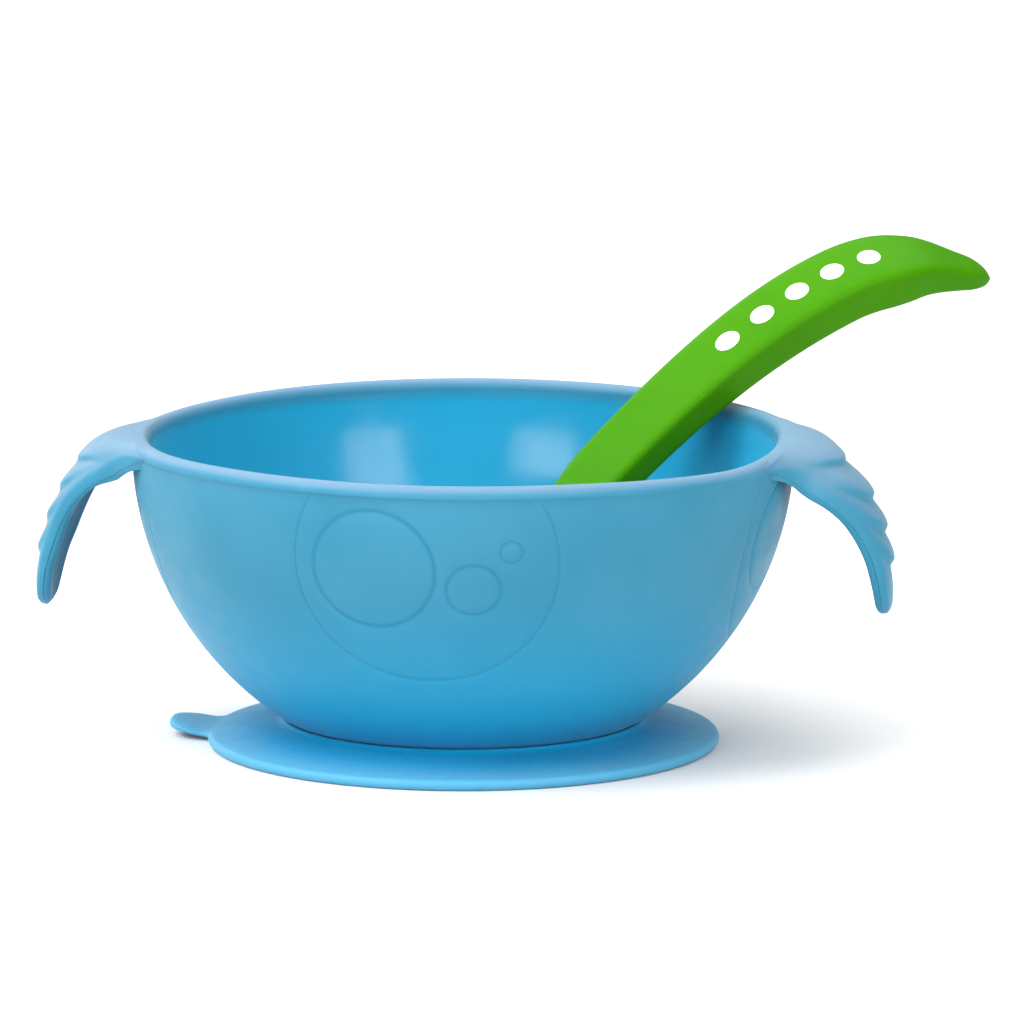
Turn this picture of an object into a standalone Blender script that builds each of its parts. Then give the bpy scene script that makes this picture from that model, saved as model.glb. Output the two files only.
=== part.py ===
"""Child's suction bowl with two wing handles, a suction disc with a release tab, and its spoon.

Metres, +Z up, standing on z = 0. The origin is under the middle of the whole outline, so the bowl's own axis is
BOWL_X away from it, because the spoon reaches out past the right-hand handle. +X points along both handles, to the
side that the spoon leans to, and +Y to the back, over which the spoon leans.
"""

from math import asin, cos, pi, radians, sin, sqrt

import bmesh
import bpy
from mathutils import Matrix, Vector

GAP = 0.0003  # between pieces that touch

# Bowl
BOWL_X = -0.0090  # the bowl's axis, from the origin
AROUND = 48  # sides of a turned shape
SPHERE_Z = 0.0607  # centre of the round wall
OUTER_R = 0.0657
INNER_R = 0.0622
RIM_R = 0.0639  # middle of the rolled rim
RIM_Z = 0.0606
RIM_TUBE_R = 0.0021
RIM_LIP_Z = 0.0599  # where the rim overhangs the wall
FOOT_R = 0.0350
FLOOR_Z = 0.0086
FLOOR_R = 0.0270
FILLET_Z = 0.0160  # where the inside wall starts to turn into the floor

# Suction disc
DISC_TOP_Z = 0.0048
DISC_R = 0.0509
DISC_EDGE_R = 0.0011  # radius of its round edge
LIP_INNER_R = 0.0470  # the flat sealing ring reaches in to here
CAVITY_Z = 0.0028

# Release tab
TAB_ANGLE = radians(174)
TAB_HALF_WIDTH = 0.0085
TAB_LENGTH = 0.0085
TAB_THICKNESS = 0.0020
TAB_TILT = radians(9)
TAB_Z = 0.0012  # middle of its root

# Wing handles: the top follows a quarter of an ellipse, out and down
HANDLE_ROOT_X = 0.0660
HANDLE_TIP_Z = 0.0300  # height of the ellipse's centre
HANDLE_REACH = 0.0192
HANDLE_DROP = 0.0330
HANDLE_THICKNESS = 0.0034
HANDLE_ROOT_THICKNESS = 0.0056
HANDLE_END = radians(96)
HANDLE_ARCH = 0.0066  # how far its front and back edges hang under its middle, at most
HANDLE_HINGE_Z = 0.0605
HANDLE_RELIEF = 0.0011  # the root is a wedge, so that it can swing

# Spoon
SPOON_X = 0.0515  # where it crosses the rim, from the bowl's axis
SPOON_Y = 0.0371
SPOON_HEADING = radians(27)
SPOON_ROLL = radians(24)  # its top face leans to the front
SPOON_END = 0.0578  # end of the handle, along the heading from the rim
NECK = -0.0300  # where the grip ends and the head begins
HEAD_END = -0.0615
CORE_END = 0.0440
SOCKET_WALL = 0.0018


def clear_scene():
    for item in list(bpy.data.objects):
        bpy.data.objects.remove(item, do_unlink=True)


def material(name, color, roughness, subsurface=0.0):
    made = bpy.data.materials.new(name)
    made.use_nodes = True
    made.diffuse_color = (*color, 1.0)
    shader = made.node_tree.nodes["Principled BSDF"]
    shader.inputs["Base Color"].default_value = (*color, 1.0)
    shader.inputs["Roughness"].default_value = roughness
    shader.inputs["Metallic"].default_value = 0.0
    shader.inputs["Subsurface Weight"].default_value = subsurface
    return made


def empty(name, location, parent=None):
    made = bpy.data.objects.new(name, None)
    bpy.context.scene.collection.objects.link(made)
    made.location = location
    made.parent = parent
    return made


def finish_mesh(name, mesh, finish, parent, shift=(0, 0, 0)):
    """Turns a bmesh into a named object under its parent. shift is the parent's place in the bmesh's own space."""
    bmesh.ops.remove_doubles(mesh, verts=mesh.verts, dist=1e-6)
    bmesh.ops.triangulate(mesh, faces=mesh.faces)
    bmesh.ops.recalc_face_normals(mesh, faces=mesh.faces)
    bmesh.ops.translate(mesh, verts=mesh.verts, vec=-Vector(shift))
    data = bpy.data.meshes.new(name)
    mesh.to_mesh(data)
    mesh.free()
    data.shade_smooth()
    data.set_sharp_from_angle(angle=radians(35))
    data.materials.append(finish)
    made = bpy.data.objects.new(name, data)
    bpy.context.scene.collection.objects.link(made)
    made.parent = parent
    return made


def turned(profile):
    """A solid turned about Z from (radius, height) points that run from the axis, round the outside, to the axis."""
    mesh = bmesh.new()
    rings = []
    for radius, height in profile:
        if radius == 0:
            rings.append([mesh.verts.new((0, 0, height))] * AROUND)
            continue
        turns = [2 * pi * k / AROUND for k in range(AROUND)]
        rings.append([mesh.verts.new((radius * cos(a), radius * sin(a), height)) for a in turns])
    for low, high in zip(rings, rings[1:]):
        for k in range(AROUND):
            corners = [low[k], low[(k + 1) % AROUND], high[(k + 1) % AROUND], high[k]]
            mesh.faces.new(list(dict.fromkeys(corners)))
    return mesh


def lofted(rings):
    """A solid through closed rings of the same number of points, with flat ends."""
    mesh = bmesh.new()
    made = [[mesh.verts.new(p) for p in ring] for ring in rings]
    count = len(made[0])
    for near, far in zip(made, made[1:]):
        for k in range(count):
            mesh.faces.new([near[k], near[(k + 1) % count], far[(k + 1) % count], far[k]])
    for ring in (made[0], made[-1]):
        mesh.faces.new(ring)
    return mesh


def arc(center, radius, start, end, steps):
    """(radius, height) points on a round stretch of a profile, by angle above the horizontal."""
    angles = [start + (end - start) * k / steps for k in range(steps + 1)]
    return [(center[0] + radius * cos(a), center[1] + radius * sin(a)) for a in angles]


def bend(start, corner, end, steps):
    """A smooth bend from start to end that leaves and arrives towards corner."""
    made = []
    for k in range(steps + 1):
        t = k / steps
        pull = [(1 - t) ** 2, 2 * t * (1 - t), t**2]
        made.append(tuple(sum(w * p[i] for w, p in zip(pull, (start, corner, end))) for i in range(2)))
    return made


def smooth(t):
    t = min(max(t, 0.0), 1.0)
    return t * t * (3 - 2 * t)


def oval(turn, squareness=0.5):
    """A point on a full, flattened oval of half-width and half-height 1."""
    c = cos(turn)
    s = sin(turn)
    return abs(c) ** 0.9 * (1 if c >= 0 else -1), abs(s) ** squareness * (1 if s >= 0 else -1)


def bowl_shell(finish, body):
    foot_turn = -asin((SPHERE_Z - 0.0080) / OUTER_R)
    lip_turn = -asin((SPHERE_Z - RIM_LIP_Z) / OUTER_R)
    fillet_turn = -asin((SPHERE_Z - FILLET_Z) / INNER_R)
    fillet_start = (INNER_R * cos(fillet_turn), FILLET_Z)
    slope = Vector((sin(fillet_turn), -cos(fillet_turn)))
    corner_r = fillet_start[0] + slope.x * (FILLET_Z - FLOOR_Z) / -slope.y
    bottom = DISC_TOP_Z + GAP
    profile = [(0, bottom), (FOOT_R, bottom)]
    profile += arc((0, SPHERE_Z), OUTER_R, foot_turn, lip_turn, 10)
    profile += arc((RIM_R, RIM_Z), RIM_TUBE_R, radians(-6), radians(186), 8)
    profile += arc((0, SPHERE_Z), INNER_R, radians(-3), fillet_turn, 8)
    profile += bend(fillet_start, (corner_r, FLOOR_Z), (FLOOR_R, FLOOR_Z), 4)[1:]
    profile += [(0, FLOOR_Z)]
    return finish_mesh("bowl_shell", turned(profile), finish, body)


def suction_disc(finish, base):
    edge = (DISC_R - DISC_EDGE_R, DISC_EDGE_R)
    profile = [(0, CAVITY_Z), (0.030, 0.0025), (0.040, 0.0016), (0.0455, 0.0006), (LIP_INNER_R, 0)]
    profile += arc(edge, DISC_EDGE_R, radians(-90), radians(78), 5)
    profile += [(0.0430, 0.0034), (FOOT_R, DISC_TOP_Z), (0, DISC_TOP_Z)]
    return finish_mesh("suction_disc", turned(profile), finish, base)


def release_tab(finish, hinge):
    """A rounded tongue that leaves the disc's edge and tilts up a little."""
    root_r = DISC_R + GAP
    rings = []
    for k in range(8):
        along = (k / 7) ** 0.8
        half = TAB_HALF_WIDTH * sqrt(max(1 - along**3.2, 0.004))
        thick = TAB_THICKNESS / 2 * (1 if k < 7 else 0.4)
        ring = []
        for n in range(16):
            across, up = oval(2 * pi * n / 16)
            follow = 1 - smooth(along * 1.5)
            sag = (root_r - sqrt(root_r**2 - (half * across) ** 2)) * follow
            reach = TAB_LENGTH * along
            ring.append((root_r + reach - sag, half * across, TAB_Z + reach * sin(TAB_TILT) + thick * up))
        rings.append(ring)
    mesh = lofted(rings)
    bmesh.ops.rotate(mesh, verts=mesh.verts, cent=(0, 0, 0), matrix=Matrix.Rotation(TAB_ANGLE, 3, "Z"))
    return finish_mesh("release_tab", mesh, finish, hinge, hinge.location)


def handle_half_width(turn):
    """Half the handle's width at each angle of its curve: a wide root, a waist, and a rounded tip."""
    root = 0.0105 * (1 - smooth(turn / radians(28)))
    body = 0.0135 - 0.0062 * smooth((turn - radians(25)) / radians(62))
    left = (HANDLE_END - turn) / radians(15)
    tip = sqrt(max(1 - (1 - min(left, 1)) ** 2, 0.01))
    return (root + body) * tip


def handle_arch(turn):
    """How far the front and back edges hang: most near the root, and little at the tip."""
    return HANDLE_ARCH * smooth(turn / radians(24)) * (1 - 0.85 * smooth((turn - radians(30)) / radians(62)))


def wing_handle(name, side, finish, hinge):
    rings = []
    count = 20
    turns = [0, 0, 6, 13, 21, 30, 40, 50, 60, 70, 78, 85, 90, 93.5, 96]
    for k, degrees in enumerate(turns):
        turn = radians(degrees)
        half = handle_half_width(turn)
        wedge = k == 0
        thick = HANDLE_THICKNESS + (HANDLE_ROOT_THICKNESS - HANDLE_THICKNESS) * (1 - smooth(turn / radians(30)))
        thick = 0 if wedge else thick * (0.5 if k == len(turns) - 1 else 1)
        top = Vector((HANDLE_ROOT_X + HANDLE_REACH * sin(turn), 0, HANDLE_TIP_Z + HANDLE_DROP * cos(turn)))
        normal = Vector((HANDLE_DROP * sin(turn), 0, HANDLE_REACH * cos(turn))).normalized()
        middle = top - normal * HANDLE_ROOT_THICKNESS / 2 if k < 2 else top - normal * thick / 2
        away = GAP if wedge else HANDLE_RELIEF
        ring = []
        for n in range(count):
            across, up = oval(2 * pi * n / count, 0.4)
            y = half * across
            follow = 1 - smooth(turn / radians(36))
            rim = RIM_R + RIM_TUBE_R
            sag = (rim - sqrt(rim**2 - y**2)) * follow
            out = (away - HANDLE_ROOT_X + rim) * follow
            point = middle + normal * (thick / 2 * up - handle_arch(turn) * across**2)
            ring.append((side * (point.x + out - sag), y, point.z))
        rings.append(ring)
    return finish_mesh(name, lofted(rings), finish, hinge, hinge.location - BOWL_AXIS)


def spoon_height(along):
    """Height of the spoon's middle line at a distance along its heading from the rim: straight, then arched over."""
    knots = [(-0.0620, 0.0114), (-0.0440, 0.0318), (-0.0266, 0.0508), (0, 0.0719), (0.0237, 0.0843)]
    knots += [(0.0395, 0.0886), (0.0506, 0.0866), (0.0593, 0.0836)]
    for k in range(len(knots) - 1):
        if along <= knots[k + 1][0] or k == len(knots) - 2:
            break
    slopes = []
    for j in (k, k + 1):
        before = knots[max(j - 1, 0)]
        after = knots[min(j + 1, len(knots) - 1)]
        slopes.append((after[1] - before[1]) / (after[0] - before[0]))
    (x0, z0), (x1, z1) = knots[k], knots[k + 1]
    span = x1 - x0
    t = (along - x0) / span
    rise = (2 * t**3 - 3 * t**2 + 1) * z0 + (3 * t**2 - 2 * t**3) * z1
    return rise + span * ((t**3 - 2 * t**2 + t) * slopes[0] + (t**3 - t**2) * slopes[1])


def spoon_frame(along):
    """The spoon's middle point there, with its width and its upward direction, rolled to the front."""
    step = 0.0005
    slope = (spoon_height(along + step) - spoon_height(along - step)) / (2 * step)
    heading = Vector((cos(SPOON_HEADING), sin(SPOON_HEADING), 0))
    point = Vector((SPOON_X, SPOON_Y, 0)) + heading * along + Vector((0, 0, spoon_height(along)))
    forward = (heading + Vector((0, 0, slope))).normalized()
    width = forward.cross(Vector((0, 0, 1))).normalized()
    turn = Matrix.Rotation(SPOON_ROLL, 3, forward)
    return point, turn @ width, turn @ width.cross(forward)


def grip_half_sizes(along):
    """Half the grip's width and half its thickness."""
    grow = smooth((along - NECK) / 0.052)
    shrink = smooth((along - 0.028) / 0.034)
    end = min(max((SPOON_END - along) / 0.0055, 0.0), 1.0)
    round_end = sqrt(max(1 - (1 - end) ** 2, 0.02))
    half = (0.0067 + 0.0011 * grow - 0.0050 * shrink) * round_end
    return half, (0.0045 + 0.0010 * grow - 0.0041 * shrink) * round_end


def section(along, half, thick, count, squareness=0.5):
    point, width, up = spoon_frame(along)
    turns = [oval(2 * pi * n / count, squareness) for n in range(count)]
    return [point + width * half * a + up * thick * b for a, b in turns]


def core_half_sizes(along, spare=0.0):
    half, thick = grip_half_sizes(along)
    return half - SOCKET_WALL + spare, thick - SOCKET_WALL + spare


def spoon_grip(finish, body):
    """The soft skin, with a socket for the core that opens at the neck."""
    count = 20
    outside = [NECK + (0.0540 - NECK) * k / 19 for k in range(20)]
    outside += [SPOON_END - rest for rest in (0.0024, 0.0012, 0.0004)]
    inside = [CORE_END + GAP + (NECK - CORE_END - GAP) * k / 10 for k in range(11)]
    rings = [section(a, *grip_half_sizes(a), count) for a in reversed(outside)]
    rings += [section(a, *core_half_sizes(a, GAP), count) for a in reversed(inside)]
    return finish_mesh("spoon_grip", lofted(rings), finish, body, body.location - BOWL_AXIS)


def spoon_core(finish, body):
    places = [NECK + GAP + (CORE_END - NECK - GAP) * k / 12 for k in range(13)]
    rings = [section(a, *core_half_sizes(a), 12) for a in places]
    return finish_mesh("spoon_core", lofted(rings), finish, body, body.location - BOWL_AXIS)


def head_half_width(share):
    """Half the head's width at each share of its length from the neck: narrow, then an egg shape."""
    egg = sqrt(max(1 - abs((share - 0.64) / (0.36 if share > 0.64 else 0.60)) ** 2.2, 0))
    return max(0.0060 * (1 - smooth(share * 2.2)) + 0.0122 * egg * smooth(share * 1.8), 0.0012)


def spoon_head(finish, hinge):
    """A short neck that opens into a shallow bowl. Its root is a wedge, so that it can bend."""
    count = 20
    start = NECK - GAP
    rings = []
    shares = [0, 0.035, 0.10, 0.18, 0.27, 0.36, 0.46, 0.56, 0.66, 0.76, 0.85, 0.92, 0.97, 1.0]
    for k, share in enumerate(shares):
        point, width, up = spoon_frame(start + (HEAD_END - start) * share)
        half = head_half_width(share)
        dish = smooth((share - 0.12) / 0.30) * (1 - smooth((share - 0.86) / 0.14) * 0.75)
        wall = 0 if k == 0 else (0.0042 - 0.0030 * smooth(share / 0.40)) * (0.6 if k == len(shares) - 1 else 1)
        ring = []
        for n in range(count):
            across, high = oval(2 * pi * n / count, 0.55)
            sink = 0.0052 * dish * (1 - across**2)
            ring.append(point + width * half * across + up * (wall * high - sink))
        rings.append(ring)
    return finish_mesh("spoon_head", lofted(rings), finish, hinge, hinge.location - BOWL_AXIS)


BOWL_AXIS = Vector((BOWL_X, 0, 0))


def main():
    clear_scene()
    blue = material("blue_silicone", (0.10, 0.42, 0.68), 0.45, 0.15)
    blue_disc = material("blue_disc_silicone", (0.08, 0.38, 0.66), 0.38, 0.15)
    green = material("green_silicone", (0.13, 0.52, 0.02), 0.40, 0.10)
    white = material("white_plastic", (0.85, 0.85, 0.83), 0.35)

    base = empty("base_frame", BOWL_AXIS)
    suction_disc(blue_disc, base)
    bowl = empty("bowl_frame", (0, 0, 0), base)
    bowl_shell(blue, bowl)

    tab_out = Vector((cos(TAB_ANGLE), sin(TAB_ANGLE), 0)) * (DISC_R + GAP)
    tab_hinge = empty("tab_hinge", tab_out + Vector((0, 0, TAB_Z + TAB_THICKNESS / 2)), base)
    release_tab(blue_disc, tab_hinge)

    for name, side in (("left_handle", -1), ("right_handle", 1)):
        place = BOWL_AXIS + Vector((side * (RIM_R + RIM_TUBE_R + GAP), 0, HANDLE_HINGE_Z))
        wing_handle(name, side, blue, empty(f"{name}_hinge", place))

    spoon = empty("spoon_frame", BOWL_AXIS + Vector((SPOON_X, SPOON_Y, spoon_height(0))))
    spoon_grip(green, spoon)
    spoon_core(white, spoon)
    neck = empty("spoon_neck", BOWL_AXIS + spoon_frame(NECK)[0])
    spoon_head(green, neck)


main()
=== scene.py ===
"""The suction bowl's looks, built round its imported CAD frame. Metres, +Z up, bowl axis at BOWL_X."""

from math import asin, atan2, ceil, cos, degrees, exp, log, pi, radians, sin, sqrt, tan

import bmesh
import bpy
from mathutils import Matrix, Vector
from mathutils.geometry import delaunay_2d_cdt
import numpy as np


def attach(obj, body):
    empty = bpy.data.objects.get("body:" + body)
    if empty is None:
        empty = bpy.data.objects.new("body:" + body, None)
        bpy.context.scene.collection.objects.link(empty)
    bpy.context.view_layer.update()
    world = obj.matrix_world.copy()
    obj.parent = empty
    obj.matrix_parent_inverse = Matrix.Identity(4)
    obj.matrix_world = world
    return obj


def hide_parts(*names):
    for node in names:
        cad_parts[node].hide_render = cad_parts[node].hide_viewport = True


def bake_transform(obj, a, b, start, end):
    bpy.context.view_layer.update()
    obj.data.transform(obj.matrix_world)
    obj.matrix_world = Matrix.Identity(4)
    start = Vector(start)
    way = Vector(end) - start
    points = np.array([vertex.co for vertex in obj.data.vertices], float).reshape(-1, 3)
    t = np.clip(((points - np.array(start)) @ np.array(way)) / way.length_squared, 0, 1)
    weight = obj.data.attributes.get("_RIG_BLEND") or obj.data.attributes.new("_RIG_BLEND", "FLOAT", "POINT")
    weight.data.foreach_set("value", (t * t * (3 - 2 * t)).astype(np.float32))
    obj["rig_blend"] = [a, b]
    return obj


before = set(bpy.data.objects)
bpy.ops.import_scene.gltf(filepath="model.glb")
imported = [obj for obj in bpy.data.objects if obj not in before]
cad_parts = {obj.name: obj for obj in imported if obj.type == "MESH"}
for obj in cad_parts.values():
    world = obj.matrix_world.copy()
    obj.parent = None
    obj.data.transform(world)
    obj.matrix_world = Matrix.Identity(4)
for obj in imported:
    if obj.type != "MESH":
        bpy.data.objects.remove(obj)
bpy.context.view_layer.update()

MM = 0.001
BOWL_X = -9.0 * MM
AXIS = Vector((BOWL_X, 0, 0))

# Bowl
AROUND = 240  # sides of a turned shape
SPHERE_Z = 60.7 * MM  # centre of the round wall
OUTER_R = 65.7 * MM
INNER_R = 62.2 * MM
RIM_R = 63.9 * MM  # middle of the rolled rim
RIM_Z = 60.6 * MM
RIM_TUBE_R = 2.1 * MM
FOOT_R = 35.0 * MM
BOTTOM_Z = 5.1 * MM
WALL_LOW_Z = 8.0 * MM
WALL_TOP_Z = 60.1 * MM
FLOOR_Z = 8.6 * MM
FLOOR_R = 27.0 * MM
FILLET_Z = 16.0 * MM
SEAM_TURN = radians(45)  # where the wall's mesh closes, away from the rings

# Suction disc and its tab
DISC_R = 50.9 * MM
DISC_EDGE_R = 1.1 * MM  # radius of its round edge
TAB_ANGLE = radians(174)
TAB_HALF_WIDTH = 8.5 * MM
TAB_LENGTH = 8.5 * MM
TAB_THICKNESS = 2.0 * MM
TAB_TILT = radians(9)
TAB_Z = 1.2 * MM
TAB_ROOT = -0.22  # where it starts inside the disc, as a share of its length
TAB_FLARE = 4.2 * MM  # how much wider its root is, on each side
TAB_SIDES = 56

# Wings, in mm: the top runs down a quarter of an ellipse, from the rim at 0 degrees to the tip
RIM_OUTER = (RIM_R + RIM_TUBE_R) / MM
WING_ROOT_X = 66.0
WING_TOP_Z = 62.78
WING_REACH = 19.2
WING_DROP = 33.0
ROOT_HALF = 27.0  # half the root's width along the rim
ARM_HALF = 13.5  # half the width past the root
TIP_NARROWS = 6.2  # how much less half the width is near the tip
ROOT_FALL = 3.6  # the power by which the root's top falls away to its edges
ARM_FALL = 2.3  # the same past the root
ROOT_ROLLS = (134, 126, 118, 110, 102, 94)  # rows over the rim's bead, from the inside
ROOT_LEVELS = ((62, (64.5, 62.75)), (30, (65.2, 62.77)))  # rows that level out: roll, (x, z) in their middle
FIRST_ROWS = (0, 0.12, 0.3, 0.55)  # in degrees
ROW_STEP = 0.8
TIP_ROWS = (5.6, 4.8, 4.0, 3.2, 2.5, 1.9, 1.3, 0.8, 0.4, 0.15, 0.03)  # in degrees before the tip

# Spoon
SPOON_X = 51.5 * MM
SPOON_Y = 37.1 * MM
SPOON_HEADING = radians(27)
SPOON_ROLL = radians(27)
SPOON_END = 57.8 * MM
SPOON_SIDES = 72
GRIP_POWER = 7.0  # how square the grip's section is
HEAD_POWER = 2.6
END_POWER = 4.0
END_ROUND = 5.5 * MM  # over this length the grip's end is rounded
DISH_DEPTH = 5.2 * MM
NECK = -30.0 * MM
HEAD_START = -30.3 * MM
HEAD_END = -61.5 * MM

# The print on the grip, in mm
DOT_R = 2.2
DOT_PLACES = (0.5, 8.0, 15.5, 23.0, 30.5)  # along the grip
DOT_PROFILE = ((0.0, 0.09), (0.5, 0.09), (0.86, 0.09), (0.97, 0.07), (1.0, 0.0), (1.0, -0.15))  # share, height
DOT_SIDES = 40

# Camera
AZIMUTH = radians(3.5)
ELEVATION = radians(9.95)
DISTANCE = 2.0
LOOK_AT = Vector((0.00067, 0, 0.0464))
LENS = 354.4


def clamp(t, low=0.0, high=1.0):
    return min(max(t, low), high)


def smooth(t):
    t = clamp(t)
    return t * t * (3 - 2 * t)


def mix(a, b, t):
    return a + (b - a) * t


def follow(value, knots):
    """A smooth curve through (place, value) knots."""
    for k in range(len(knots) - 1):
        if value <= knots[k + 1][0] or k == len(knots) - 2:
            break
    slopes = []
    for j in (k, k + 1):
        before = knots[max(j - 1, 0)]
        after = knots[min(j + 1, len(knots) - 1)]
        slopes.append((after[1] - before[1]) / (after[0] - before[0]))
    (x0, y0), (x1, y1) = knots[k], knots[k + 1]
    span = x1 - x0
    t = (value - x0) / span
    rise = (2 * t**3 - 3 * t**2 + 1) * y0 + (3 * t**2 - 2 * t**3) * y1
    return rise + span * ((t**3 - 2 * t**2 + t) * slopes[0] + (t**3 - t**2) * slopes[1])


# ---------------------------------------------------------------- materials


def linear(color):
    """The linear value of an sRGB colour given as three numbers up to 255."""
    return tuple(((c / 255 + 0.055) / 1.055) ** 2.4 if c > 10 else c / 255 / 12.92 for c in color)


class Nodes:
    """Short calls for the nodes of one material."""

    def __init__(self, name):
        self.material = bpy.data.materials.new(name)
        self.material.use_nodes = True
        self.tree = self.material.node_tree
        self.shader = self.tree.nodes["Principled BSDF"]

    def add(self, kind, **values):
        made = self.tree.nodes.new(kind)
        for key, value in values.items():
            setattr(made, key, value)
        return made

    def link(self, out, into):
        self.tree.links.new(out, into)

    def feed(self, socket, value):
        if isinstance(value, bpy.types.NodeSocket):
            self.link(value, socket)
        else:
            socket.default_value = value

    def place(self):
        return self.add("ShaderNodeTexCoord").outputs["Object"]

    def math(self, operation, a, b):
        made = self.add("ShaderNodeMath", operation=operation)
        self.feed(made.inputs[0], a)
        self.feed(made.inputs[1], b)
        return made.outputs[0]

    def range(self, value, low, high, to_low=0.0, to_high=1.0):
        made = self.add("ShaderNodeMapRange", interpolation_type="SMOOTHSTEP")
        self.feed(made.inputs["Value"], value)
        made.inputs["From Min"].default_value = low
        made.inputs["From Max"].default_value = high
        made.inputs["To Min"].default_value = to_low
        made.inputs["To Max"].default_value = to_high
        return made.outputs[0]

    def noise(self, scale, detail=3.0, roughness=0.55):
        made = self.add("ShaderNodeTexNoise")
        self.link(self.place(), made.inputs["Vector"])
        made.inputs["Scale"].default_value = scale
        made.inputs["Detail"].default_value = detail
        made.inputs["Roughness"].default_value = roughness
        return made.outputs["Fac"]

    def blend(self, share, a, b):
        made = self.add("ShaderNodeMix", data_type="RGBA", blend_type="MIX")
        self.feed(made.inputs[0], share)
        self.feed(made.inputs[6], a if isinstance(a, bpy.types.NodeSocket) else (*a, 1.0))
        self.feed(made.inputs[7], b if isinstance(b, bpy.types.NodeSocket) else (*b, 1.0))
        return made.outputs[2]

    def height(self):
        made = self.add("ShaderNodeSeparateXYZ")
        self.link(self.place(), made.inputs[0])
        return made.outputs[2]

    def up(self):
        """How far a face looks upward."""
        split = self.add("ShaderNodeSeparateXYZ")
        self.link(self.add("ShaderNodeNewGeometry").outputs["Normal"], split.inputs[0])
        return split.outputs[2]

    def distance(self, center):
        made = self.add("ShaderNodeVectorMath", operation="DISTANCE")
        self.link(self.place(), made.inputs[0])
        made.inputs[1].default_value = center
        return made.outputs["Value"]

    def attribute(self, name):
        return self.add("ShaderNodeAttribute", attribute_name=name).outputs["Fac"]

    def bump(self, layers):
        """Stacks bumps of (height, strength, distance in metres)."""
        last = None
        for height, strength, distance in layers:
            made = self.add("ShaderNodeBump")
            made.inputs["Strength"].default_value = strength
            made.inputs["Distance"].default_value = distance
            self.link(height, made.inputs["Height"])
            if last:
                self.link(last, made.inputs["Normal"])
            last = made.outputs["Normal"]
        self.link(last, self.shader.inputs["Normal"])

    def set(self, **values):
        for key, value in values.items():
            self.feed(self.shader.inputs[key.replace("_", " ")], value)


def silicone(name, color, deep, rough, subsurface, gloss=0.5, sheen=0.0):
    """Moulded silicone: faint clouds in its colour, uneven gloss, and a fine moulded grain."""
    made = Nodes(name)
    clouds = made.noise(38, 3)
    tint = made.blend(made.range(clouds, 0.35, 0.68), color, deep)
    smear = made.noise(140, 4, 0.6)
    made.set(Base_Color=tint, Roughness=made.range(smear, 0.3, 0.7, rough - 0.05, rough + 0.06))
    made.set(Subsurface_Weight=subsurface, Subsurface_Scale=0.004, IOR=1.41, Specular_IOR_Level=gloss)
    made.set(Sheen_Weight=sheen, Sheen_Roughness=0.42)
    made.shader.inputs["Subsurface Radius"].default_value = (0.35, 0.8, 1.0)
    made.bump([(made.noise(900, 2), 0.05, 0.0002), (made.noise(120, 2), 0.04, 0.0005)])
    return made, tint


BLUE_TOP = (0.026, 0.180, 0.280)
BLUE_DEEP = (0.018, 0.164, 0.258)
# painted shade towards the bowl's foot
BLUE_FOOT_SHADE = (0.000, 0.245, 0.450)
BLUE_INSIDE = (0.014, 0.258, 0.425)
BLUE_PAINTED_SHEEN = (0.098, 0.192, 0.280)  # painted sheen: upward faces painted lighter and whiter, as light from above makes them look
# painted shade in the debossed rings
GROOVE_SHADE_BLUE = (0.000, 0.130, 0.235)
DISC_BLUE = (0.000, 0.225, 0.430)
DISC_DEEP = (0.000, 0.208, 0.405)
# painted highlight towards the disc's edge
DISC_PAINTED_HIGHLIGHT = (0.075, 0.290, 0.440)
GREEN = (0.040, 0.186, 0.000)
GREEN_DEEP = (0.034, 0.173, 0.000)
FLOOR_TONES = (0.64, 0.64, 0.64), (0.66, 0.66, 0.66)


def bowl_material(name="blue_bowl_silicone", foot_shade=0.9):
    """Matt outside, with a painted sheen that lightens its upward faces, and glossy under the rim inside. The outside
    has painted shade towards the foot, a deeper blue.
    """
    made, tint = silicone(name, BLUE_TOP, BLUE_DEEP, 0.5, 0.35, gloss=0.3, sheen=0.06)
    height = made.height()
    # painted shade: the outside turns a deeper, more saturated blue towards the foot, as its shaded lower wall looks
    low = made.range(height, 0.006, 0.045, 1.0, 0.0)
    tint = made.blend(made.math("MULTIPLY", low, foot_shade), tint, BLUE_FOOT_SHADE)
    near = made.range(made.distance((BOWL_X, 0, SPHERE_Z)), 0.0630, 0.0642, 1.0, 0.0)
    inside = made.math("MULTIPLY", near, made.range(height, 0.0580, 0.0612, 1.0, 0.0))
    # painted sheen: outside faces that look upward are painted lighter, as light from above makes them look
    painted_sheen = made.math("MULTIPLY", made.range(inside, 0.0, 0.6, 1.0, 0.0), made.range(made.up(), 0.1, 0.9, 0.0, 1.0))
    tint = made.blend(painted_sheen, tint, BLUE_PAINTED_SHEEN)
    tint = made.blend(inside, tint, BLUE_INSIDE)
    # painted shade: the rings' grooves are painted darker by their depth
    tint = made.blend(made.math("MULTIPLY", made.attribute("groove"), 0.6), tint, GROOVE_SHADE_BLUE)
    smear = made.range(made.noise(140, 4, 0.6), 0.3, 0.7, -0.05, 0.06)
    rough = made.math("ADD", made.range(inside, 0.0, 1.0, 0.50, 0.16), smear)
    made.set(Base_Color=tint, Roughness=rough)
    return made.material


def wing_material():
    """The bowl's silicone, with its painted sheen but without the painted shade towards the foot."""
    return bowl_material("blue_wing_silicone", 0.0)


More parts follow.
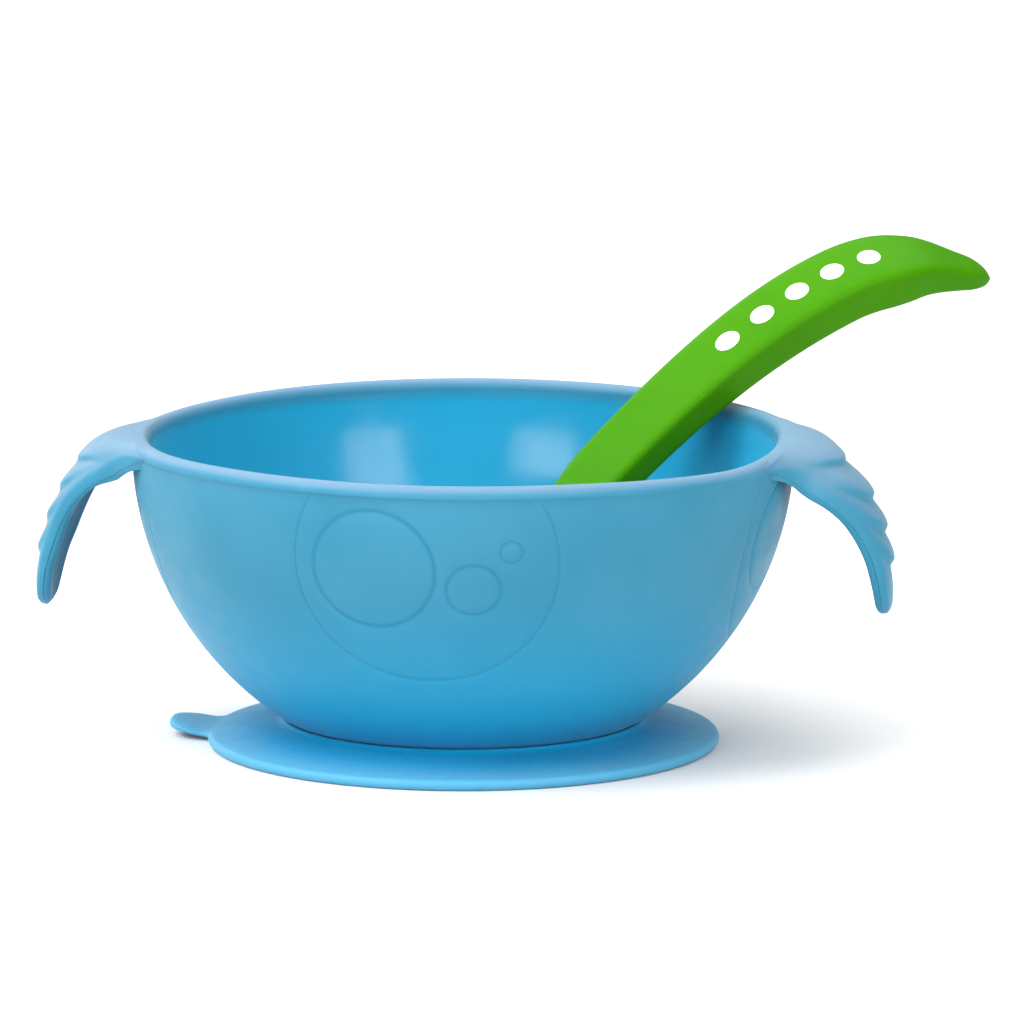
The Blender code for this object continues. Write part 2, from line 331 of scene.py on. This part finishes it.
def disc_material():
    """A thin disc, with a painted highlight that makes it paler towards its edge."""
    made, tint = silicone("blue_disc_silicone", DISC_BLUE, DISC_DEEP, 0.5, 0.35, gloss=0.3, sheen=0.06)
    # painted highlight: the disc is painted paler towards its edge, where light catches it
    pale = made.range(made.distance((BOWL_X, 0, 0.002)), 0.040, 0.0512, 0.0, 0.85)
    made.set(Base_Color=made.blend(pale, tint, DISC_PAINTED_HIGHLIGHT))
    return made.material


def spoon_material():
    made, _ = silicone("green_spoon_silicone", GREEN, GREEN_DEEP, 0.40, 0.10, gloss=0.06)
    return made.material


def print_material():
    made = Nodes("white_print")
    fleck = made.noise(1500, 3)
    made.set(Base_Color=made.blend(fleck, linear((226, 232, 228)), linear((246, 248, 246))))
    made.set(Roughness=made.range(fleck, 0.3, 0.7, 0.40, 0.52))
    made.bump([(fleck, 0.08, 0.0001)])
    return made.material


def core_material():
    made = Nodes("white_core_plastic")
    grain = made.noise(700, 3)
    made.set(Base_Color=made.blend(grain, linear((232, 232, 228)), linear((242, 242, 240))))
    made.set(Roughness=made.range(grain, 0.3, 0.7, 0.30, 0.42))
    made.bump([(grain, 0.06, 0.0002)])
    return made.material


def floor_material():
    made = Nodes("studio_floor")
    grain = made.noise(30, 4)
    made.set(Base_Color=made.blend(grain, *FLOOR_TONES))
    made.set(Roughness=made.range(grain, 0.3, 0.7, 0.75, 0.85))
    return made.material


# ---------------------------------------------------------------- meshes


def piece(name, mesh, material, sharp=32.0, shift=AXIS):
    """Turns a bmesh in the bowl's own space into a named object."""
    bmesh.ops.remove_doubles(mesh, verts=mesh.verts, dist=1e-6)
    bmesh.ops.recalc_face_normals(mesh, faces=mesh.faces)
    bmesh.ops.translate(mesh, verts=mesh.verts, vec=shift)
    data = bpy.data.meshes.new(name)
    mesh.to_mesh(data)
    mesh.free()
    data.shade_smooth()
    data.set_sharp_from_angle(angle=radians(sharp))
    data.materials.append(material)
    made = bpy.data.objects.new(name, data)
    bpy.context.scene.collection.objects.link(made)
    return made


def arc(center, radius, start, end, steps):
    """Points on an arc between two angles in degrees."""
    turns = [radians(mix(start, end, k / steps)) for k in range(steps + 1)]
    return [(center[0] + radius * cos(a), center[1] + radius * sin(a)) for a in turns]


def bend(start, corner, end, steps):
    """Points on a curve that leaves start towards the corner and reaches end from it."""
    made = []
    for k in range(steps + 1):
        t = k / steps
        pull = [(1 - t) ** 2, 2 * t * (1 - t), t**2]
        made.append(tuple(sum(w * p[i] for w, p in zip(pull, (start, corner, end))) for i in range(2)))
    return made


def turned(mesh, profile, first=None, last=None):
    """Adds a turned surface through (radius, height) points. first and last may be rings that are already there."""
    rings = []
    for k, (radius, height) in enumerate(profile):
        if k == 0 and first:
            rings.append(first)
            continue
        if k == len(profile) - 1 and last:
            rings.append(last)
            continue
        if radius == 0:
            rings.append([mesh.verts.new((0, 0, height))] * AROUND)
            continue
        turns = [SEAM_TURN + 2 * pi * n / AROUND for n in range(AROUND)]
        rings.append([mesh.verts.new((radius * cos(a), radius * sin(a), height)) for a in turns])
    for low, high in zip(rings, rings[1:]):
        for n in range(AROUND):
            corners = [low[n], low[(n + 1) % AROUND], high[(n + 1) % AROUND], high[n]]
            mesh.faces.new(list(dict.fromkeys(corners)))


def lofted(mesh, rings):
    """Adds a skin through closed rings of the same number of points, and closes both ends."""
    made = [[mesh.verts.new(p) for p in ring] for ring in rings]
    count = len(made[0])
    for near, far in zip(made, made[1:]):
        for k in range(count):
            mesh.faces.new([near[k], near[(k + 1) % count], far[(k + 1) % count], far[k]])
    for ring in (made[0], made[-1]):
        mesh.faces.new(ring)


# ---------------------------------------------------------------- bowl


# Plain debossed rings like rising bubbles, in mm: (across, up, radius, half line width, depth)
RING_GROUP = (
    (0, 0, 26.4, 0.38, 0.14),
    (-10.2, -0.8, 12.2, 0.72, 0.20),
    (9.4, -4.6, 5.3, 0.66, 0.18),
    (17.0, 3.4, 2.2, 0.42, 0.15),
)
RING_TURNS = (-93, -3, 177, 87)  # where the groups sit round the wall, in degrees
RING_LAT = radians(-12.6)
RING_CLEARANCE = 0.6 * MM  # the wall's own points keep this far from a ring's lines
RING_SPACING = 0.9 * MM  # between points along a ring
GROOVE_FULL = 0.2 * MM  # the depth at which the grooves' painted shade is full


def facing(lon, lat):
    """The unit vector at that longitude and latitude."""
    return Vector((cos(lat) * cos(lon), cos(lat) * sin(lon), sin(lat)))


def ring_groups():
    """Every ring as (centre as a unit vector, radius, half line width, depth)."""
    made = []
    for turn in RING_TURNS:
        for across, up, radius, line, depth in RING_GROUP:
            lat = RING_LAT + up * MM / OUTER_R
            lon = radians(turn) + across * MM / (OUTER_R * cos(lat))
            made.append((facing(lon, lat), radius * MM, line * MM, depth * MM))
    return made


def mercator(lat):
    """The height on a map that keeps angles, so that the wall's flat mesh has even cells."""
    return log(tan(pi / 4 + lat / 2))


def from_mercator(v):
    return 2 * atan2(exp(v), 1) - pi / 2


def wall_points(rings, low, high):
    """The wall's points on the flat map, and the edges that its mesh must keep: its border and the rings' lines."""
    step = 2 * pi / AROUND
    points = [Vector((n * step, v)) for v in (low, high) for n in range(AROUND + 1)]
    edges = [(n, n + 1) for n in range(AROUND)]
    edges += [(AROUND + 1 + n, AROUND + 2 + n) for n in range(AROUND)]
    rows = ceil((high - low) / (step * 1.05))
    for j in range(1, rows):
        v = mix(low, high, j / rows)
        for n in range(AROUND + 1):
            on_seam = n in (0, AROUND)
            turn = n * step + (0 if on_seam or j % 2 else step / 2)
            if turn > 2 * pi - step * 0.4 and not on_seam:
                continue
            way = facing(turn + SEAM_TURN, from_mercator(v))
            near = min(abs(OUTER_R * way.angle(c) - r) - w for c, r, w, _ in rings)
            if near > RING_CLEARANCE or on_seam:
                points.append(Vector((turn, v)))
    for way, radius, line, _ in rings:
        side = way.cross(Vector((0, 0, 1))).normalized()
        rise = side.cross(way)
        count = max(int(2 * pi * radius / RING_SPACING), 24)
        for offset in (-1.0, -0.5, 0.0, 0.5, 1.0):
            reach = (radius + offset * line) / OUTER_R
            last = None
            for n in range(count + 1):
                a = 2 * pi * (n + 0.5 * (offset in (-0.5, 0.5))) / count
                p = way * cos(reach) + (side * cos(a) + rise * sin(a)) * sin(reach)
                v = mercator(asin(p.z))
                if v > high - step * 0.12:  # the line runs out under the rim
                    last = None
                    continue
                points.append(Vector(((atan2(p.y, p.x) - SEAM_TURN) % (2 * pi), v)))
                if last is not None:
                    edges.append((last, len(points) - 1))
                last = len(points) - 1
    return points, edges


def wall_sheet(mesh, rings):
    """The round wall's sheet, its debossed rings in the mesh itself. Returns its lowest and highest rows."""
    low = mercator(asin((WALL_LOW_Z - SPHERE_Z) / OUTER_R))
    high = mercator(asin((WALL_TOP_Z - SPHERE_Z) / OUTER_R))
    points, edges = wall_points(rings, low, high)
    flat, _, faces, *_ = delaunay_2d_cdt(points, edges, [], 0, 1e-9, False)
    groove = mesh.verts.layers.float["groove"]
    made = []
    for p in flat:
        way = facing(p.x + SEAM_TURN, from_mercator(p.y))
        fade = smooth((high - p.y) / (pi / AROUND))
        sink = 0.0
        for center, radius, line, depth in rings:
            share = abs(OUTER_R * way.angle(center) - radius) / line
            if share < 1:
                sink = max(sink, depth * fade * (1 - share * share) ** 2)
        vertex = mesh.verts.new(Vector((0, 0, SPHERE_Z)) + way * (OUTER_R - sink))
        vertex[groove] = min(sink / GROOVE_FULL, 1.0)
        made.append(vertex)
    for face in faces:
        mesh.faces.new([made[i] for i in face])
    bmesh.ops.remove_doubles(mesh, verts=made, dist=1e-6)
    rows = []
    for z in (WALL_LOW_Z, WALL_TOP_Z):
        row = [v for v in mesh.verts if abs(v.co.z - z) < 2e-6]
        row.sort(key=lambda v: (atan2(v.co.y, v.co.x) - SEAM_TURN + 1e-4) % (2 * pi))
        rows.append(row)
    return rows


def rim_point(turn, proud):
    """A point on the rolled rim, whose inner half is narrower and runs straight into the inside wall."""
    across = RIM_TUBE_R if cos(turn) > 0 else RIM_R - INNER_R
    return RIM_R + (across + proud) * cos(turn), RIM_Z + (RIM_TUBE_R + proud) * sin(turn)


def build_bowl():
    """The wall's sheet, the foot under it, and the rim, the inside wall and the floor turned from its top row."""
    mesh = bmesh.new()
    mesh.verts.layers.float.new("groove")
    low_row, top_row = wall_sheet(mesh, ring_groups())
    foot = [(0, BOTTOM_Z), (FOOT_R - 0.0006, BOTTOM_Z), (FOOT_R, BOTTOM_Z + 0.0002)]
    foot += [(mix(FOOT_R, 0.0392, 0.5), 0.0064), (0, 0)]
    turned(mesh, foot, last=low_row)
    fillet_turn = degrees(-asin((SPHERE_Z - FILLET_Z) / INNER_R))
    fillet = (INNER_R * cos(radians(fillet_turn)), FILLET_Z)
    slope = Vector((sin(radians(fillet_turn)), -cos(radians(fillet_turn))))
    corner = (fillet[0] + slope.x * (FILLET_Z - FLOOR_Z) / -slope.y, FLOOR_Z)
    bead = [(0, 0), (RIM_R + RIM_TUBE_R - 0.00022, WALL_TOP_Z + 0.00012)]
    bead += [rim_point(radians(mix(-6, 180, k / 28)), 0) for k in range(29)]
    bead += arc((0, SPHERE_Z), INNER_R, -1.5, fillet_turn, 40)
    bead += bend(fillet, corner, (FLOOR_R, FLOOR_Z), 12)[1:]
    bead += [(0.018, FLOOR_Z - 0.00005), (0.009, FLOOR_Z - 0.0001), (0, FLOOR_Z - 0.0001)]
    turned(mesh, bead, first=top_row)
    for v in mesh.verts:
        share = smooth((v.co.z - 0.040) / 0.020)
        if share > 0 and v.co.xy.length > 0.05:
            v.co.z += rim_dip(degrees(atan2(v.co.y, v.co.x))) * MM * share
    return piece("bowl", mesh, bowl_material(), sharp=50)


# ---------------------------------------------------------------- wings

# Each wing's own shape, -1 on the left and 1 on the right. Knots are (degrees down the ellipse, mm).
# steps: the crest and the foot of each grip step, in degrees; crest and trough: how far they stand out and cut in
# arch: how far the top falls away to the edges; back: the share of that at the back; back_root: the root's width
# there; edge: how thick the edge is; slant: how far it slants in; twist: how the wing turns about its own line;
# end: where the tip is, in degrees; wide: how much further than the ellipse it reaches
WINGS = {
    -1: {
        "steps": [(35.0, 38.5), (49.5, 53.5), (62.3, 66.3), (75.0, 78.0)],
        "crest": 0.45,
        "trough": -0.20,
        "arch": [(0, 1.9), (8, 2.8), (14, 3.7), (20, 4.4), (30, 4.5)]
        + [(40, 3.8), (55, 2.8), (70, 2.3), (80, 1.7), (96, 0.5)],
        "back": 1.5,
        "back_root": 0.78,
        "slant": 1.1,
        "edge": [(0, 1.6), (6, 2.9), (12, 3.6), (22, 3.6), (38, 2.7), (50, 2.8), (68, 3.4), (80, 3.1), (96, 2.8)],
        "twist": 0.08,
        "end": 96.0,
        "wide": [(0, -0.7), (40, -0.7), (75, 0.4), (96, 0.4)],
    },
    1: {
        "steps": [(29.0, 32.6), (49.0, 52.0), (62.5, 65.2), (74.8, 77.5)],
        "crest": 0.60,
        "trough": -0.34,
        "arch": [(0, 1.9), (8, 3.1), (14, 4.2), (20, 5.3), (30, 6.0)]
        + [(40, 5.4), (55, 3.8), (70, 2.5), (80, 1.8), (96, 0.5)],
        "back": 0.45,
        "back_root": 1.0,
        "slant": 0.4,
        "edge": [(0, 1.4), (6, 2.4), (12, 2.9), (22, 2.9), (38, 2.8), (60, 3.1), (80, 2.8), (96, 2.5)],
        "twist": 0.0,
        "end": 94.5,
        "wide": [(0, 0.0), (30, 0.0), (50, 0.7), (70, 0.7), (96, 0.0)],
    },
}


def rim_dip(turn):
    """How far the soft rim rises or sags, in mm, by the angle round the bowl. It sags most by the right wing."""
    knots = [(-200, -0.4), (-180, -0.4), (-155, -0.3), (-130, 0.1), (-90, -0.2), (-65, -0.5), (-45, -1.2)]
    knots += [(-30, -1.7), (-18, -1.3), (0, -0.2), (14, 0.3), (35, 0.0), (60, 0.1), (90, 0.2), (125, 0.0)]
    knots += [(150, -0.4), (180, -0.4), (200, -0.3)]
    return follow(turn, knots)


def rim_turn(y, side):
    """The angle round the bowl from +X, in degrees, of the rim's outermost point at y mm on that side."""
    turn = degrees(asin(clamp(y / RIM_OUTER, -1, 1)))
    if side > 0:
        return turn
    return 180 - turn if turn > 0 else -180 - turn


def wing_steps(turn, across, shape):
    """How far the top stands out, in mm: grip steps that sweep back to the root away from the middle."""
    sweep = follow(turn, [(0, 24), (35, 24), (52, 14), (65, 10), (96, 8)])
    turn += sweep * abs(across) ** 2.3
    start, floor, value = 12.0, 0.0, 0.0
    trough_level = shape["trough"]
    for crest, trough in shape["steps"]:
        if turn < start:
            break
        top = shape["crest"] * (0.85 if crest < 40 else 1.0)
        if turn <= crest:
            value = mix(floor, top, smooth((turn - start) / (crest - start)))
            break
        if turn <= trough:
            value = mix(top, trough_level, smooth((turn - crest) / (trough - crest)))
            break
        start, floor, value = trough, trough_level, trough_level
    else:
        value = mix(trough_level, 0, smooth((turn - start) / 9))
    return value * (1 - smooth((abs(across) - 0.50) / 0.40))


def wing_section(half, middle, edge, roll, slant):
    """Points of (distance across, depth under the top), in mm: a large roll, a groove, and an edge that slants in."""
    points = []
    for k in range(48):
        points.append((mix(half - roll, roll - half, k / 48), 0.0))
    side = []
    for k in range(9):
        a = radians(84 * k / 8)
        side.append((half - roll + roll * sin(a), roll - roll * cos(a)))
    groove = min(0.20, edge * 0.065)
    low = edge - side[-1][1]
    start = side[-1][0]
    for share, cut in ((0.05, 0.6), (0.10, 1.0), (0.17, 0.35), (0.26, 0.0)):
        side.append((start - groove * cut - slant * share**2, side[8][1] + low * share))
    for k in range(1, 8):
        share = 0.26 + 0.74 * k / 7
        fall = slant * share**2 + slant * 0.35 * max(share - 0.75, 0) ** 2 * 16
        side.append((start - fall, side[8][1] + low * min(share * 1.04, 1.0)))
    points += [(-y, depth) for y, depth in side]
    inner = side[-1][0]
    for k in range(1, 40):
        y = mix(-inner, inner, k / 40)
        points.append((y, mix(middle, edge, (y / inner) ** 2)))
    points += list(reversed(side))[:-1]
    return points


def root_row(roll, level, section, side):
    """A row that follows the rim's bead, sunk where it starts, and levels out in the middle if level is given."""
    a = radians(roll)
    proud = mix(-0.05, 0.04, smooth((ROOT_ROLLS[0] - roll) / 16))
    bead = [v / MM for v in rim_point(a, proud * MM)]
    inward = [v / MM for v in rim_point(a, -1.0 * MM)]
    row = []
    for y, depth in section:
        share = min(abs(y) / ROOT_HALF, 1.0) ** ROOT_FALL
        if y > 0:
            y *= WINGS[side]["back_root"]
        x, z = bead
        if level:
            x, z = mix(level[0], x, share), mix(level[1], z, share)
        depth += 0.12 * share
        x, z = mix(x, inward[0], depth), mix(z, inward[1], depth)
        swing = asin(y / RIM_OUTER)
        z += rim_dip(rim_turn(y, side))
        row.append((side * x * cos(swing) * MM, x * sin(swing) * MM, z * MM))
    return row


def arm_row(turn, side):
    """A row of the wing at that many degrees down its ellipse."""
    shape = WINGS[side]
    a = radians(turn)
    reach = (WING_REACH + follow(turn, shape["wide"])) * sin(a)
    top = Vector((WING_ROOT_X + reach, 0, WING_TOP_Z - WING_DROP + WING_DROP * cos(a)))
    normal = Vector((WING_DROP * sin(a), 0, WING_REACH * cos(a))).normalized()

    # its size: half its width, its thickness in the middle and at the edge, and the edge's roll and slant
    to_tip = shape["end"] - turn
    flare = (ROOT_HALF - ARM_HALF) * exp(-((reach / 3.6) ** 0.62))
    half = ARM_HALF + flare - TIP_NARROWS * smooth((turn - 25) / 62)
    half = max(half * sqrt(1 - (1 - clamp(to_tip / 18)) ** 2), 0.4)
    end = sqrt(max(1 - (1 - clamp(to_tip / 5.2)) ** 2, 0.01))
    full = mix(3.2, 5.0, 1 - smooth(turn / 26)) * (1 - 0.14 * smooth((turn - 60) / 30))
    edge = follow(turn, shape["edge"]) * end
    roll = mix(0.5, 1.7, smooth(turn / 9)) * (1 - 0.30 * smooth((turn - 40) / 45))
    roll = min(roll, half * 0.7, edge * 0.6)
    slant = min(shape["slant"] * smooth(turn / 12), half * 0.3)

    # its pose: how much it still follows the rim, is drawn in underneath, leans forward and twists
    hold = 1 - smooth(turn / 36)
    tuck = 1.4 * (1 - smooth(turn / 8))
    lean = 2.5 * smooth(turn / 40)
    twist = shape["twist"] * smooth((turn - 20) / 40)
    sink = (1 - end) * full / 2
    arch = follow(turn, shape["arch"])
    fall = mix(ROOT_FALL, ARM_FALL, clamp(turn / 26))
    back = mix(1.0, shape["back"], smooth(turn / 14) * (1 - smooth((turn - 16) / 25)))
    back_width = mix(shape["back_root"], 1.0, smooth(turn / 14))

    row = []
    for y, depth in wing_section(half, full * end, edge, roll, slant):
        under = clamp(depth / edge)
        raised = wing_steps(turn, y / half, shape) * (1 - under) * end
        hang = arch * min(abs(y) / half, 1.0) ** fall * (back if y > 0 else 1.0)
        point = top + normal * (raised - sink - depth - hang)
        x = point.x - tuck * smooth(under * 1.5) - twist * (y + 6.0)
        if y > 0:
            y *= back_width
        x -= (RIM_OUTER - sqrt(RIM_OUTER**2 - y**2)) * hold
        z = point.z + rim_dip(rim_turn(y, side)) * hold
        row.append((side * x * MM, (y - side * lean) * MM, z * MM))
    return row


def build_wing(name, side, material):
    """A skin through rows from the rim's inside, over its bead and down the ellipse to the tip."""
    section = wing_section(ROOT_HALF, 1.0, 1.0, 0.4, 0.1)
    rows = [root_row(roll, None, section, side) for roll in ROOT_ROLLS]
    rows += [root_row(roll, level, section, side) for roll, level in ROOT_LEVELS]
    end = WINGS[side]["end"]
    turns = list(FIRST_ROWS) + [ROW_STEP * k for k in range(1, 113)]
    turns = [t for t in turns if t < end - TIP_ROWS[0] - 0.2]
    turns += [end - k for k in TIP_ROWS]
    rows += [arm_row(turn, side) for turn in turns]
    mesh = bmesh.new()
    lofted(mesh, rows)
    return piece(name, mesh, material, sharp=60)


# ---------------------------------------------------------------- disc and tab


def build_disc():
    """Turned from the hollow underneath, out over the flat lip and the round edge, up to the fillet at the foot."""
    edge = (DISC_R - DISC_EDGE_R, DISC_EDGE_R)
    profile = [(0, 0.0028), (0.015, 0.00275), (0.030, 0.0025), (0.036, 0.0021), (0.040, 0.0016), (0.0435, 0.0010)]
    profile += [(0.0455, 0.0006), (0.0465, 0.0002), (0.0470, 0)]
    profile += arc(edge, DISC_EDGE_R, -90, 78, 14)
    profile += [(0.0490, 0.00232), (0.0470, 0.00262), (0.0445, 0.00306), (0.0420, 0.00352), (0.0395, 0.00398)]
    profile += [(0.0376, 0.00434), (0.0368, 0.00462)]
    profile += arc((0.0357, 0.00478), 0.00060, 25, 150, 8)
    profile += [(0.0348, 0.00500), (0.0340, 0.00504), (0, 0.00504)]
    mesh = bmesh.new()
    turned(mesh, profile)
    return piece("suction_disc", mesh, disc_material(), sharp=50)


def build_tab(material):
    """A tongue that flares into the disc's edge and rises outward, with a rounded-box section."""
    rings = []
    for k in range(26):
        along = TAB_ROOT + (1 - TAB_ROOT) * k / 25
        reach = TAB_LENGTH * along
        out = max(along, 0)
        half = TAB_HALF_WIDTH * sqrt(max(1 - out**3.0, 0.0)) + TAB_FLARE * (1 - smooth((along - TAB_ROOT) / 0.5)) ** 2
        half = max(half, 0.0004)
        thick = TAB_THICKNESS / 2 * sqrt(max(1 - clamp((along - 0.86) / 0.14) ** 2, 0.02))
        ring = []
        for n in range(TAB_SIDES):
            c = cos(2 * pi * n / TAB_SIDES)
            s = sin(2 * pi * n / TAB_SIDES)
            across = abs(c) ** 0.7 * (1 if c >= 0 else -1)
            up = abs(s) ** 0.75 * (1 if s >= 0 else -1)
            sag = (DISC_R - sqrt(DISC_R**2 - (half * across) ** 2)) * (1 - smooth(along * 1.5))
            lift = TAB_Z + max(reach, 0) * sin(TAB_TILT) * (1 - 0.5 * (1 - smooth(along * 2)))
            ring.append((DISC_R + reach - sag, half * across, lift + thick * up))
        rings.append(ring)
    mesh = bmesh.new()
    lofted(mesh, rings)
    bmesh.ops.rotate(mesh, verts=mesh.verts, cent=(0, 0, 0), matrix=Matrix.Rotation(TAB_ANGLE, 3, "Z"))
    return piece("release_tab", mesh, material, sharp=60)


# ---------------------------------------------------------------- spoon


def spoon_height(along):
    """The height of the spoon's middle line, along its heading from where it crosses the rim."""
    knots = [(-62.0, 11.4), (-44.0, 31.8), (-26.6, 51.1), (0, 72.2), (23.7, 84.9), (39.5, 87.9)]
    knots += [(50.6, 86.4), (59.3, 84.0)]
    return follow(along / MM, knots) * MM


def spoon_frame(along):
    """The spoon's middle point there, with its width and its upward direction, rolled to the front."""
    step = 0.0005
    slope = (spoon_height(along + step) - spoon_height(along - step)) / (2 * step)
    heading = Vector((cos(SPOON_HEADING), sin(SPOON_HEADING), 0))
    point = Vector((SPOON_X, SPOON_Y, 0)) + heading * along + Vector((0, 0, spoon_height(along)))
    forward = (heading + Vector((0, 0, slope))).normalized()
    width = forward.cross(Vector((0, 0, 1))).normalized()
    turn = Matrix.Rotation(SPOON_ROLL, 3, forward)
    return point, turn @ width, turn @ width.cross(forward)


def grip_sizes(along):
    """Half the grip's width and half its thickness: it grows from the neck, then narrows to a round end."""
    grow = smooth((along - NECK) / 0.052)
    shrink = smooth((along - 0.032) / 0.028)
    end = clamp((SPOON_END - along) / END_ROUND)
    round_end = sqrt(max(1 - (1 - end) ** 2, 0.0))
    half = (0.0065 + 0.0011 * grow - 0.0047 * shrink) * round_end
    return half, (0.0038 + 0.0008 * grow - 0.0025 * shrink) * round_end


def head_sizes(share):
    """Half the head's width and its wall: a straight neck that widens into a round-ended oval."""
    half = 0.0059 + 0.0045 * smooth((share - 0.32) / 0.42)
    round_end = sqrt(max(1 - max((share - 0.72) / 0.28, 0) ** 2.2, 0))
    return half * round_end, 0.0040 - 0.0028 * smooth((share - 0.30) / 0.36)


def power_oval(turn, power):
    """A point on an oval of half-width 1, squarer with a higher power."""
    c = cos(turn)
    s = sin(turn)
    reach = (abs(c) ** power + abs(s) ** power) ** (-1 / power)
    return c * reach, s * reach


def spoon_ring(along):
    """The spoon's section there: a squarish grip that turns into a dished oval head."""
    point, width, up = spoon_frame(along)
    share = (along - HEAD_START) / (HEAD_END - HEAD_START)
    to_head = smooth((share + 0.10) / 0.22)
    half, thick = grip_sizes(max(along, NECK))
    head_half, wall = head_sizes(clamp(share))
    half = mix(half, head_half, to_head)
    thick = mix(thick, wall, to_head)
    dish = DISH_DEPTH * smooth((share - 0.36) / 0.28) * (1 - 0.75 * smooth((share - 0.86) / 0.14))
    power = mix(GRIP_POWER, HEAD_POWER, smooth((share - 0.30) / 0.30))
    power = mix(power, END_POWER, smooth((along - 0.030) / 0.030))
    half = max(half, 0.0003)
    thick = max(thick, 0.0003)
    ring = []
    for n in range(SPOON_SIDES):
        across, high = power_oval(2 * pi * n / SPOON_SIDES, power)
        sink = dish * (1 - across**2)
        ring.append(point + width * half * across + up * (thick * high - sink))
    return ring


def build_spoon(material):
    places = [SPOON_END - END_ROUND * (1 - cos(radians(90 * k / 12))) for k in range(12)]
    places += [mix(SPOON_END - END_ROUND, NECK + 0.004, k / 90) for k in range(91)]
    places += [mix(NECK + 0.0036, HEAD_END + 0.0020, k / 70) for k in range(71)]
    places += [HEAD_END + 0.0020 * (1 - sin(radians(90 * k / 8))) for k in range(1, 9)]
    mesh = bmesh.new()
    lofted(mesh, [spoon_ring(a) for a in places])
    return piece("spoon", mesh, material, sharp=60)


def build_dots(material):
    """A row of plain round print marks that lie on the spoon's top."""
    mesh = bmesh.new()
    for along in DOT_PLACES:
        rows = []
        for reach, proud in DOT_PROFILE:
            row = []
            for n in range(DOT_SIDES):
                a = 2 * pi * n / DOT_SIDES
                place = (along + DOT_R * reach * cos(a)) * MM
                point, width, up = spoon_frame(place)
                half, thick = grip_sizes(place)
                across = DOT_R * reach * sin(a) * MM / half
                high = (1 - abs(across) ** GRIP_POWER) ** (1 / GRIP_POWER)
                row.append(mesh.verts.new(point + width * half * across + up * (thick * high + proud * MM)))
            rows.append(row)
        for low, high in zip(rows, rows[1:]):
            for n in range(DOT_SIDES):
                after = (n + 1) % DOT_SIDES
                mesh.faces.new([low[n], low[after], high[after], high[n]])
        mesh.faces.new(rows[-1])
    return piece("spoon_print_dots", mesh, material, sharp=50)


# ---------------------------------------------------------------- studio


def area_light(name, place, aim, size, power):
    """A rectangular light at place that points at aim."""
    data = bpy.data.lights.new(name, "AREA")
    data.shape = "RECTANGLE"
    data.size, data.size_y = size
    data.energy = power
    made = bpy.data.objects.new(name, data)
    bpy.context.scene.collection.objects.link(made)
    made.location = place
    made.rotation_euler = (Vector(aim) - Vector(place)).to_track_quat("-Z", "Y").to_euler()


def build_studio():
    """A plain pale floor, soft area lights and a white world."""
    mesh = bmesh.new()
    bmesh.ops.create_grid(mesh, x_segments=8, y_segments=8, size=4.0)
    floor = piece("studio_floor", mesh, floor_material(), shift=Vector((0, 0, 0)))
    world = bpy.data.worlds.new("studio")
    bpy.context.scene.world = world
    world.use_nodes = True
    world.node_tree.nodes["Background"].inputs["Color"].default_value = (1, 1, 1, 1)
    world.node_tree.nodes["Background"].inputs["Strength"].default_value = 0.39
    aim = (BOWL_X, 0, 0.04)
    area_light("overhead", (-0.7, 0.3, 2.4), (-0.1, 0.3, 0), (5.0, 5.0), 200.0)
    area_light("key_left", (-1.25, -0.75, 1.45), aim, (1.3, 1.3), 30.0)
    area_light("back_left", (-1.5, 1.6, 0.80), aim, (1.8, 1.2), 9.0)
    area_light("box_right", (0.66, -0.82, 0.44), aim, (0.46, 0.72), 9.0)
    area_light("box_left", (-0.50, -0.92, 0.30), aim, (0.44, 0.30), 4.0)


def build_camera():
    scene = bpy.context.scene
    scene.view_settings.view_transform = "Standard"
    scene.view_settings.look = "None"
    across = cos(ELEVATION)
    way = Vector((-sin(AZIMUTH) * across, cos(AZIMUTH) * across, -sin(ELEVATION)))
    data = bpy.data.cameras.new("camera")
    data.lens = LENS
    data.sensor_width = 36.0
    camera = bpy.data.objects.new("camera", data)
    scene.collection.objects.link(camera)
    camera.location = LOOK_AT - way * DISTANCE
    camera.rotation_euler = way.to_track_quat("-Z", "Y").to_euler()
    scene.camera = camera


def assemble():
    """Builds every piece, hangs it on the body it rides on, and hides the frame's parts that it replaces."""
    bowl = build_bowl()
    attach(bowl, "bowl")
    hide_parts("bowl_shell")

    wing_skin = wing_material()
    for name, side in (("left_handle", -1), ("right_handle", 1)):
        wing = build_wing(name.replace("handle", "wing"), side, wing_skin)
        start = AXIS + Vector((side * 0.0655, 0, 0.0620))
        end = AXIS + Vector((side * 0.0740, 0, 0.0590))
        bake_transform(wing, "bowl", name, start=start, end=end)
        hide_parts(name)

    disc = build_disc()
    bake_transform(disc, "base", "bowl", start=(BOWL_X, 0, 0.0014), end=(BOWL_X, 0, 0.0047))
    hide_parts("suction_disc")

    tab = build_tab(disc.data.materials[0])
    out = Vector((cos(TAB_ANGLE), sin(TAB_ANGLE), 0))
    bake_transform(tab, "base", "tab", start=AXIS + out * 0.0506, end=AXIS + out * 0.0548)
    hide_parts("release_tab")

    spoon = build_spoon(spoon_material())
    start = AXIS + spoon_frame(NECK + 0.004)[0]
    end = AXIS + spoon_frame(NECK - 0.009)[0]
    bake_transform(spoon, "spoon", "spoon_head", start=start, end=end)
    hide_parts("spoon_grip", "spoon_head")

    dots = build_dots(print_material())
    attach(dots, "spoon")

    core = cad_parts["spoon_core"]
    plastic = core_material()
    for holder in core.material_slots:
        holder.material = plastic


assemble()
build_studio()
build_camera()
